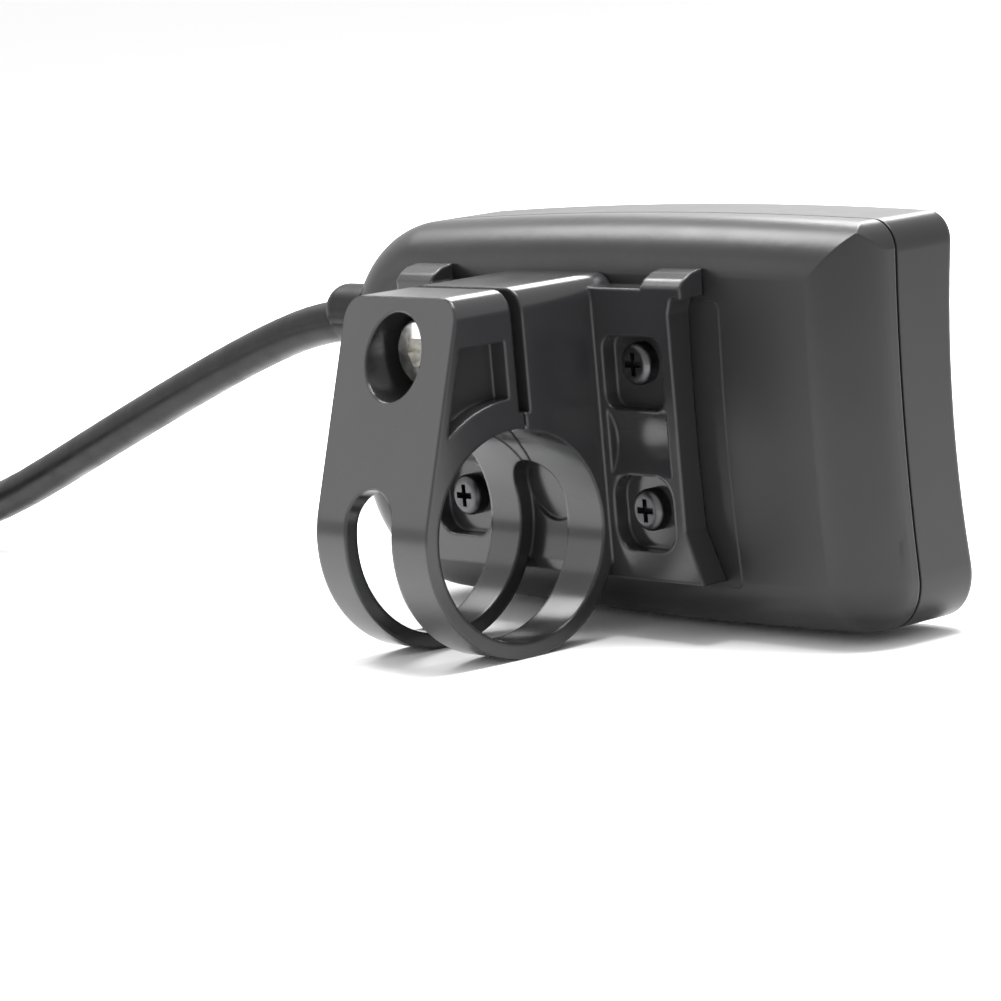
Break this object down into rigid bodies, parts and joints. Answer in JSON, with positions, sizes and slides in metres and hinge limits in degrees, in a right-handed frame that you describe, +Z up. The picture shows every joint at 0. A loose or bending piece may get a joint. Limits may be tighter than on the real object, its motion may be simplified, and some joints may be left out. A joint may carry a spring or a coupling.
{
  "type": "handlebar LED display unit",
  "caption": "Flat, gently curved LED display and control unit with push keys, a split clamp for a handlebar, and a coiled lead with an inline plug.",
  "frame": {"origin": "centre of the clamp's bore, midway along it", "axes": "+X along the handlebar to the rider's right, +Y from the bar towards the display's front face, +Z up"},
  "size_m": [0.2296, 0.073, 0.0438],
  "materials": {
    "housing_plastic": "fine moulded texture, black",
    "clamp_plastic": "glass-filled nylon, satin charcoal",
    "rubber": "soft matte black",
    "seal": "translucent grey silicone",
    "keycap": "silicone, dark grey",
    "lens": "smoked, clear gloss",
    "steel": "bright zinc plate",
    "black_steel": "black oxide with a thin oil film",
    "small_steel": "nickel plate",
    "brass": "plain turned brass",
    "board": "green solder mask",
    "component": "black epoxy",
    "connector_plastic": "natural nylon",
    "can": "plain aluminium can",
    "led": "yellow phosphor",
    "baffle": "white light mask",
    "core_wire": "insulated core",
    "tie": "nylon strap"
  },
  "bodies": {
    "housing": {"back_shell": "housing_plastic", "front_shell": "housing_plastic", "housing_seal": "seal", "display_lens": "lens", "tact_switch_cases": "small_steel", "circuit_board": "board", "board_screws": "small_steel", "mounting_screws": "black_steel", "battery_leds": "led", "assist_leds": "led", "light_baffle": "baffle", "microcontroller": "component", "voltage_regulator": "component", "capacitor": "can", "wire_header": "connector_plastic", "inner_wires": "core_wire", "clamp_body": "clamp_plastic", "clamp_insert": "brass", "cable": "rubber", "cable_tail": "rubber", "cable_tie": "tie", "cable_coil": "rubber", "plug_boot": "rubber", "plug_barrel": "component", "plug_pins": "brass", "cable_gland": "rubber"},
    "key_minus": {"key_minus": "keycap"},
    "key_power": {"key_power": "keycap"},
    "key_plus": {"key_plus": "keycap"},
    "plunger_minus": {"plunger_minus": "component"},
    "plunger_power": {"plunger_power": "component"},
    "plunger_plus": {"plunger_plus": "component"},
    "clamp_screw": {"clamp_screw": "steel"}
  },
  "joints": [
    {"name": "key_minus_press", "type": "slide", "parent": "housing", "child": "key_minus", "axis": [0, -1, 0], "range_m": [0, 0.0003], "stiffness_N_per_m": 700},
    {"name": "plunger_minus_press", "type": "slide", "parent": "housing", "child": "plunger_minus", "axis": [0, -1, 0], "range_m": [0, 0.00025]},
    {"name": "key_power_press", "type": "slide", "parent": "housing", "child": "key_power", "axis": [0, -1, 0], "range_m": [0, 0.0003], "stiffness_N_per_m": 700},
    {"name": "plunger_power_press", "type": "slide", "parent": "housing", "child": "plunger_power", "axis": [0, -1, 0], "range_m": [0, 0.00025]},
    {"name": "key_plus_press", "type": "slide", "parent": "housing", "child": "key_plus", "axis": [0, -1, 0], "range_m": [0, 0.0003], "stiffness_N_per_m": 700},
    {"name": "plunger_plus_press", "type": "slide", "parent": "housing", "child": "plunger_plus", "axis": [0, -1, 0], "range_m": [0, 0.00025]},
    {"name": "clamp_screw_turn", "type": "hinge", "parent": "housing", "child": "clamp_screw", "pos_m": [0, 0, 0.0195], "axis": [0, 1, 0], "continuous": true}
  ],
  "couplings": [
    {"joint": "plunger_minus_press", "follows": "key_minus_press", "ratio": 0.8},
    {"joint": "plunger_power_press", "follows": "key_power_press", "ratio": 0.8},
    {"joint": "plunger_plus_press", "follows": "key_plus_press", "ratio": 0.8}
  ]
}
